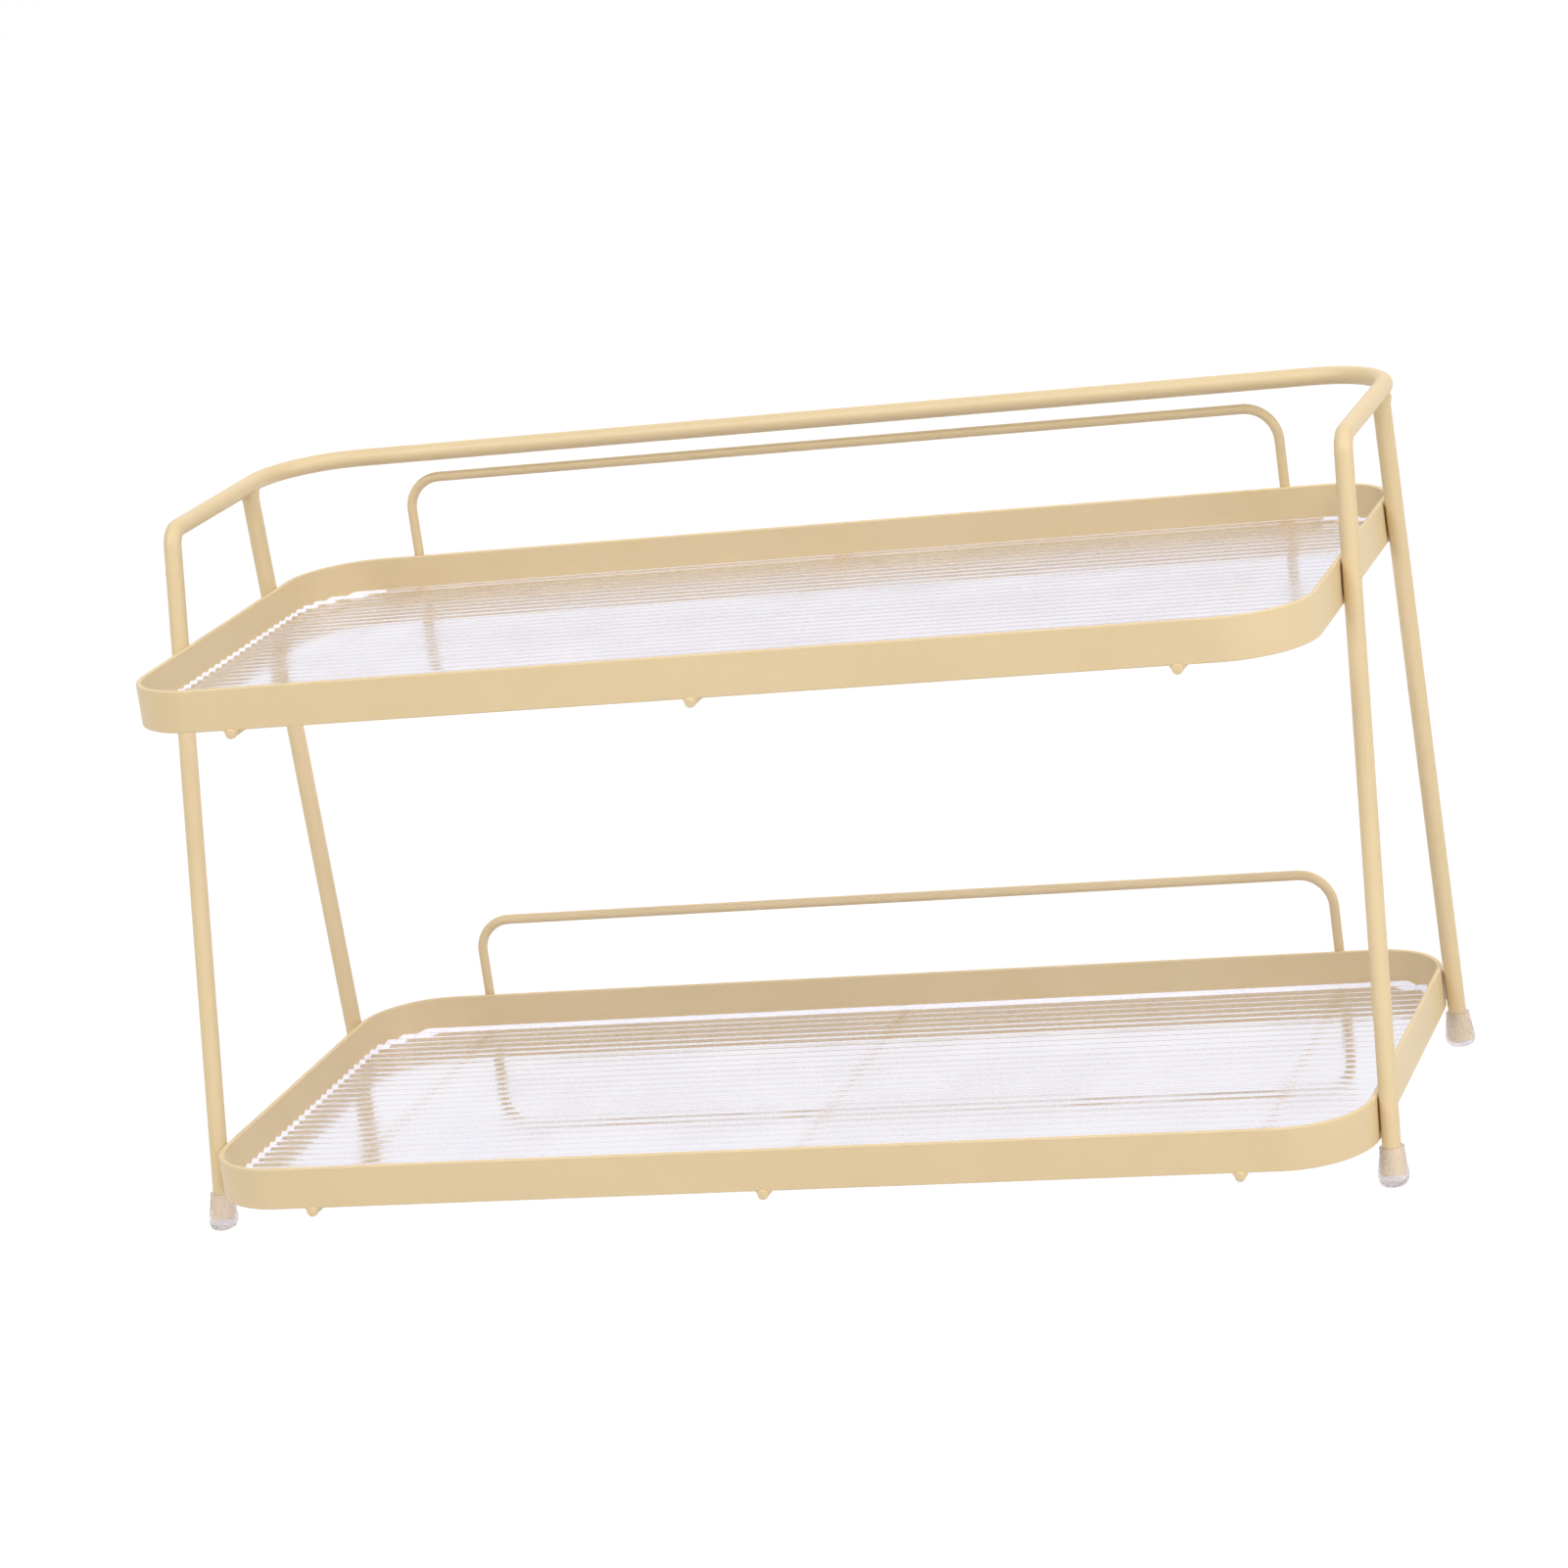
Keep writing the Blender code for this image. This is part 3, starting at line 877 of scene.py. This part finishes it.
    def make_welds(self) -> None:
        """Adds the welds where the wires and the guard meet the rim."""
        bm = bmesh.new()
        wires = [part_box(f"{self.tier}_cross_wire_{place}") for place in ("left", "centre", "right")]
        for low, high in wires:
            x = (low.x + high.x) / 2
            for y in (self.low.y + self.strip_thickness / 2, self.high.y - self.strip_thickness / 2):
                self.add_wire_weld(bm, Vector((x, y, self.low.z)))
        low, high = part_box(self.tier + "_guard")
        for x in (low.x + self.wire_radius, high.x - self.wire_radius):
            self.add_guard_weld(bm, Vector((x, self.high.y, self.high.z)))
        self.shop.piece(bm, self.tier + "_tray_welds", Body.FRAME, Slot.COAT, [self.coat])

    def add_wire_weld(self, bm: bmesh.types.BMesh, place: Vector) -> None:
        """Adds the V-shaped weld between a wire and the strip's lower edge.

        Args:
            bm: The mesh that collects the welds.
            place: Middle of the strip's lower edge over the wire.
        """
        drop = self.weld_drop
        sunk = self.weld_sunk
        made = bmesh.ops.create_cube(bm, size=1)["verts"]
        size = (2 * self.weld_half_width, self.strip_thickness - self.weld_setback, drop + sunk)
        bmesh.ops.scale(bm, vec=size, verts=made)
        foot = [v for v in made if v.co.z < 0]
        bmesh.ops.scale(bm, vec=(self.weld_foot_half / self.weld_half_width, 1, 1), verts=foot)
        bmesh.ops.translate(bm, vec=place - Z * ((drop - sunk) / 2), verts=made)
        edges = list({e for v in made for e in v.link_edges})
        bevel_edges(bm, edges, self.weld_round, self.round_facets)

    def add_guard_weld(self, bm: bmesh.types.BMesh, place: Vector) -> None:
        """Adds the weld between a guard's leg and the rim's rear face.

        Args:
            bm: The mesh that collects the welds.
            place: Point on the top of the rim's rear face in front of the leg.
        """
        made = bmesh.ops.create_cube(bm, size=1)["verts"]
        height = self.height * self.guard_weld_share
        width = 2 * self.wire_radius + self.guard_weld_spread
        bmesh.ops.scale(bm, vec=(width, self.guard_weld_depth, height), verts=made)
        far = [v for v in made if v.co.y > 0]
        bmesh.ops.scale(bm, vec=(self.guard_weld_taper, 1, 1), verts=far)
        middle = place + Y * self.guard_weld_offset - Z * (height / 2 + self.guard_weld_below_top)
        bmesh.ops.translate(bm, vec=middle, verts=made)
        edges = list({e for v in made for e in v.link_edges})
        bevel_edges(bm, edges, self.guard_weld_round, self.round_facets)


@dataclass
class LegLine:
    """Centre line of a leg from the table to the rail."""

    foot_y: float
    top_y: float
    rail_z: float

    @property
    def slope(self) -> float:
        """How far the leg moves along Y for each metre of height."""
        return (self.top_y - self.foot_y) / self.rail_z

    def point(self, x: float, z: float) -> Vector:
        """Point of the line at height z, on the side at x."""
        return Vector((x, self.foot_y + self.slope * z, z))


@dataclass
class RodFrame:
    """Bent top rail with both front legs, the rear legs and their welds to the rims."""

    shop: Workshop
    coat: bpy.types.Material
    rod_radius: float = 3.0 * MM
    rail_corner: float = 28.6 * MM
    front_bend: float = 6.5 * MM
    front_foot_inset: float = 23.0 * MM
    front_top_inset: float = 75.8 * MM
    rear_foot_inset: float = 23.0 * MM
    rear_top_inset: float = 37.5 * MM
    rod_sides: int = 40
    corner_steps: int = 32
    leg_in_rail: float = 0.4
    collar_up: float = 1.0 * MM
    collar_down: float = 2.2 * MM
    collar_spread: float = 0.55 * MM
    collar_foot: float = 0.99
    bead_radius: float = 0.9 * MM
    bead_sides: int = 12
    bead_margin: float = 2.0 * MM
    bead_behind: float = 1.9 * MM
    bead_outside: float = 0.6 * MM

    def __post_init__(self) -> None:
        """Takes the legs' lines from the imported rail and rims."""
        self.low, self.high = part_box("top_rail")
        self.rail_z = self.high.z - self.rod_radius
        self.rail_x = self.high.x - self.rod_radius
        self.back_y = self.high.y - self.rod_radius
        rim_low, rim_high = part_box("lower_rim")
        self.front = LegLine(
            rim_low.y + self.front_foot_inset, rim_low.y + self.front_top_inset, self.rail_z
        )
        self.rear = LegLine(
            rim_high.y - self.rear_foot_inset, rim_high.y - self.rear_top_inset, self.rail_z
        )

    def build(self) -> None:
        """Makes the rail, the rear legs and the welds."""
        self.make_rail()
        for side in Side:
            self.make_rear_leg(side)
        self.make_welds()

    def make_rail(self) -> None:
        """Bends the one rod that is both front legs, both side rails and the back bar."""
        foot = self.front.point(-self.rail_x, self.low.z + self.rod_radius * math.sin(self.lean(self.front)))
        top = self.front.point(-self.rail_x, self.rail_z)
        up = (top - foot).normalized()
        between = up.angle(-Y)
        reach = self.front_bend / math.tan(between / 2)
        turn = math.pi - between
        leg = (top - foot).length - reach
        side = self.back_y - self.rail_corner - self.front.point(0, self.rail_z).y - reach
        back = 2 * (self.rail_x - self.rail_corner)
        path = Sweep(round_section(self.rod_radius, self.rod_sides), foot, up, X)
        path.push(leg).turn(-X, turn, self.front_bend, self.corner_steps // 2).push(side)
        path.turn(-Z, math.pi / 2, self.rail_corner, self.corner_steps).push(back)
        path.turn(-Z, math.pi / 2, self.rail_corner, self.corner_steps).push(side)
        path.turn(X, turn, self.front_bend, self.corner_steps // 2).push(leg)
        self.shop.piece(path.bm, "top_rail_rod", Body.FRAME, Slot.COAT, [self.coat], ("top_rail",))

    def lean(self, line: LegLine) -> float:
        """Angle of a leg from upright."""
        return math.atan(abs(line.slope))

    def make_rear_leg(self, side: Side) -> None:
        """Makes one straight rear leg, up into the side rail's underside.

        Args:
            side: Which leg.
        """
        x = side.value * self.rail_x
        node = "rear_leg_" + side.name.lower()
        foot = self.rear.point(x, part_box(node)[0].z + self.rod_radius * math.sin(self.lean(self.rear)))
        top = self.rear.point(x, self.rail_z - self.leg_in_rail * self.rod_radius)
        path = Sweep(round_section(self.rod_radius, self.rod_sides), foot, top - foot, X)
        path.push((top - foot).length)
        self.shop.piece(path.bm, node + "_rod", Body.FRAME, Slot.COAT, [self.coat], (node,))

    def make_welds(self) -> None:
        """Adds the collar under each side rail and the beads between legs and rims."""
        bm = bmesh.new()
        rims = [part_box(tier + "_rim") for tier in ("lower", "upper")]
        for side in Side:
            self.add_collar(bm, side)
            for line in (self.front, self.rear):
                for low, high in rims:
                    self.add_bead(bm, side, line, low, high)
        self.shop.piece(bm, "leg_welds", Body.FRAME, Slot.COAT, [self.coat])

    def add_collar(self, bm: bmesh.types.BMesh, side: Side) -> None:
        """Adds the weld that widens a rear leg's top where it meets the rail.

        Args:
            bm: The mesh that collects the welds.
            side: Which leg.
        """
        x = side.value * self.rail_x
        top = self.rear.point(x, self.rail_z - self.rod_radius + self.collar_up)
        below = self.rear.point(x, self.rail_z - self.rod_radius - self.collar_down)
        made = bmesh.ops.create_cone(
            bm,
            cap_ends=True,
            segments=self.rod_sides,
            radius1=self.rod_radius * self.collar_foot,
            radius2=self.rod_radius + self.collar_spread,
            depth=(top - below).length,
        )["verts"]
        turn = (top - below).to_track_quat("Z", "Y").to_matrix().to_4x4()
        turn.translation = (top + below) / 2
        bmesh.ops.transform(bm, matrix=turn, verts=made)

    def add_bead(
        self, bm: bmesh.types.BMesh, side: Side, line: LegLine, low: Vector, high: Vector
    ) -> None:
        """Adds the weld in the angle between a leg's rear side and a rim's end.

        Args:
            bm: The mesh that collects the welds.
            side: Which end of the rim.
            line: The leg's centre line.
            low: The rim's lowest corner.
            high: The rim's highest corner.
        """
        bottom = line.point(side.value * high.x, low.z + self.bead_margin)
        top = line.point(side.value * high.x, high.z - self.bead_margin)
        shift = Y * self.bead_behind + X * (side.value * self.bead_outside)
        path = Sweep(round_section(self.bead_radius, self.bead_sides), bottom + shift, top - bottom, X)
        path.push((top - bottom).length)
        copy = bpy.data.meshes.new("bead")
        path.bm.to_mesh(copy)
        path.bm.free()
        bm.from_mesh(copy)
        bpy.data.meshes.remove(copy)


@dataclass
class FootCap:
    """Soft cup on a leg's foot, turned and then pushed over to the leg's lean."""

    node: str
    line: LegLine
    shop: Workshop
    plastic: bpy.types.Material
    bore: float = 2.95 * MM
    top_radius: float = 3.82 * MM
    flare: float = 1.1 * MM
    round_height: float = 3.1 * MM
    round_depth: float = 1.9 * MM
    lip: float = 0.2 * MM
    floor: float = 1.8 * MM
    turn_steps: int = 64
    arc_steps: int = 10
    merge: float = 0.005 * MM

    def build(self) -> None:
        """Turns the cap from its half section."""
        low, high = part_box(self.node)
        bm = bmesh.new()
        top = self.top_radius
        base = top + self.flare
        height = high.z
        sole = base - self.round_depth
        last = draw_to(bm, bm.verts.new((0, 0, 0)), (sole, 0, 0))
        last = draw_arc(bm, last, (sole, 0, self.round_depth), Y, -math.pi / 2, self.arc_steps)
        bmesh.ops.scale(bm, vec=(1, 1, self.round_height / self.round_depth), verts=bm.verts)
        last = draw_to(bm, last, (top, 0, height - 2 * self.lip))
        last = draw_arc(bm, last, (top, 0, height - self.lip), Y, -math.pi, self.arc_steps)
        last = draw_to(bm, last, (self.bore, 0, height))
        last = draw_to(bm, last, (self.bore, 0, self.floor))
        draw_to(bm, last, (0, 0, self.floor))
        bmesh.ops.spin(
            bm,
            geom=list(bm.verts) + list(bm.edges),
            cent=(0, 0, 0),
            axis=Z,
            angle=math.tau,
            steps=self.turn_steps,
            use_merge=True,
        )
        bmesh.ops.remove_doubles(bm, verts=bm.verts, dist=self.merge)
        lean = Matrix.Identity(4)
        lean[1][2] = self.line.slope
        lean.translation = self.line.point((low.x + high.x) / 2, 0)
        bmesh.ops.transform(bm, matrix=lean, verts=bm.verts)
        self.shop.piece(bm, self.node + "_cup", Body.FRAME, Slot.CAP, [self.plastic], (self.node,))


# ---- the studio ----


@dataclass
class Lamp:
    """One softbox."""

    name: str
    place: tuple[float, float, float]
    aim: tuple[float, float, float]
    size: float
    power: float
    mirrored: bool = True

    def build(self) -> None:
        """Hangs the softbox and points it."""
        light = bpy.data.lights.new(self.name, "AREA")
        light.shape = "SQUARE"
        light.size = self.size
        light.energy = self.power
        obj = bpy.data.objects.new(self.name, light)
        obj.location = self.place
        away = Vector(self.place) - Vector(self.aim)
        obj.rotation_euler = away.to_track_quat("Z", "Y").to_euler()
        obj.visible_glossy = self.mirrored
        # A lamp seen through the ribs would burn the sheets out to white
        obj.visible_transmission = False
        bpy.context.scene.collection.objects.link(obj)
        LOG.info("%s lit", self.name)


@dataclass
class Studio:
    """White table and surround, softboxes and the camera."""

    fill: float = 0.33
    bounces: int = 24
    floor_size: float = 12.0
    picture: int = 1601
    sensor: float = 36.0
    focal_pixels: float = 5234.237
    camera_place: tuple[float, float, float] = (507.481 * MM, -1465.522 * MM, 536.818 * MM)
    yaw: float = -0.317057
    pitch: float = 0.247441
    roll: float = -0.143202

    def build(self) -> None:
        """Sets the stage."""
        self.make_floor()
        self.make_world()
        for lamp in (
            Lamp("left_front", (-1.2, -1.9, 1.9), (0, 0, 0.1), 1.4, 26.5),
            Lamp("right", (2.0, -0.6, 1.2), (0, 0, 0.1), 1.2, 22.3),
            Lamp("front_high", (0.3, -1.0, 2.2), (0, 0, 0.1), 1.8, 18.0),
            Lamp("back", (0.0, 1.9, 1.7), (0, 0, 0.1), 1.4, 18.2, mirrored=False),
        ):
            lamp.build()
        self.make_camera()
        scene = bpy.context.scene
        scene.view_settings.view_transform = "Standard"
        scene.cycles.max_bounces = self.bounces
        scene.cycles.glossy_bounces = self.bounces
        scene.cycles.transmission_bounces = self.bounces

    def make_floor(self) -> None:
        """Lays the table."""
        bm = bmesh.new()
        bmesh.ops.create_grid(bm, x_segments=1, y_segments=1, size=self.floor_size / 2)
        mesh = bpy.data.meshes.new("floor")
        bm.to_mesh(mesh)
        bm.free()
        mesh.materials.append(PaleFloor().material())
        floor = bpy.data.objects.new("floor", mesh)
        bpy.context.scene.collection.objects.link(floor)

    def make_world(self) -> None:
        """Surrounds the table with plain white, which lights softly."""
        world = bpy.data.worlds.new("surround")
        bpy.context.scene.world = world
        world.use_nodes = True
        tree = world.node_tree
        tree.nodes.clear()
        output = tree.nodes.new("ShaderNodeOutputWorld")
        mix = tree.nodes.new("ShaderNodeMixShader")
        tree.links.new(showing_rays(tree), mix.inputs[0])
        for place, strength in enumerate((self.fill, 1.0), start=1):
            light = tree.nodes.new("ShaderNodeBackground")
            light.inputs["Color"].default_value = WHITE
            light.inputs["Strength"].default_value = strength
            tree.links.new(light.outputs[0], mix.inputs[place])
        tree.links.new(mix.outputs[0], output.inputs["Surface"])

    def make_camera(self) -> None:
        """Sets the camera where the photograph was taken from."""
        rim_low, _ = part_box("lower_rim")
        ahead = Vector((math.sin(self.yaw), math.cos(self.yaw), 0))
        right = Vector((math.cos(self.yaw), -math.sin(self.yaw), 0))
        forward = ahead * math.cos(self.pitch) - Z * math.sin(self.pitch)
        up = Z * math.cos(self.pitch) + ahead * math.sin(self.pitch)
        across = right * math.cos(self.roll) + up * math.sin(self.roll)
        above = up * math.cos(self.roll) - right * math.sin(self.roll)
        data = bpy.data.cameras.new("camera")
        data.sensor_width = self.sensor
        data.lens = self.focal_pixels / self.picture * self.sensor
        data.clip_start = 0.05
        data.clip_end = 50.0
        camera = bpy.data.objects.new("camera", data)
        pose = Matrix((across, above, -forward)).transposed().to_4x4()
        pose.translation = Vector(self.camera_place) + Y * rim_low.y
        camera.matrix_world = pose
        bpy.context.scene.collection.objects.link(camera)
        bpy.context.scene.camera = camera


def main() -> None:
    """Builds the organizer and its studio."""
    logging.basicConfig(level=logging.INFO, format="%(message)s")
    shop = Workshop()
    coat = PowderCoat().material()
    sheet = ClearFlutedSheet().material()
    cut_edge = CutSheetEdge().material()
    plastic = MilkySoftPlastic().material()
    for tier, body in (("lower", Body.LOWER_PANEL), ("upper", Body.UPPER_PANEL)):
        Tray(tier, body, shop, coat, sheet, cut_edge, frosted_rear=tier == "lower").build()
    rods = RodFrame(shop, coat)
    rods.build()
    for side in Side:
        for row, line in (("front", rods.front), ("rear", rods.rear)):
            FootCap(f"foot_cap_{row}_{side.name.lower()}", line, shop, plastic).build()
    Studio().build()


if __name__ == "__main__":
    main()
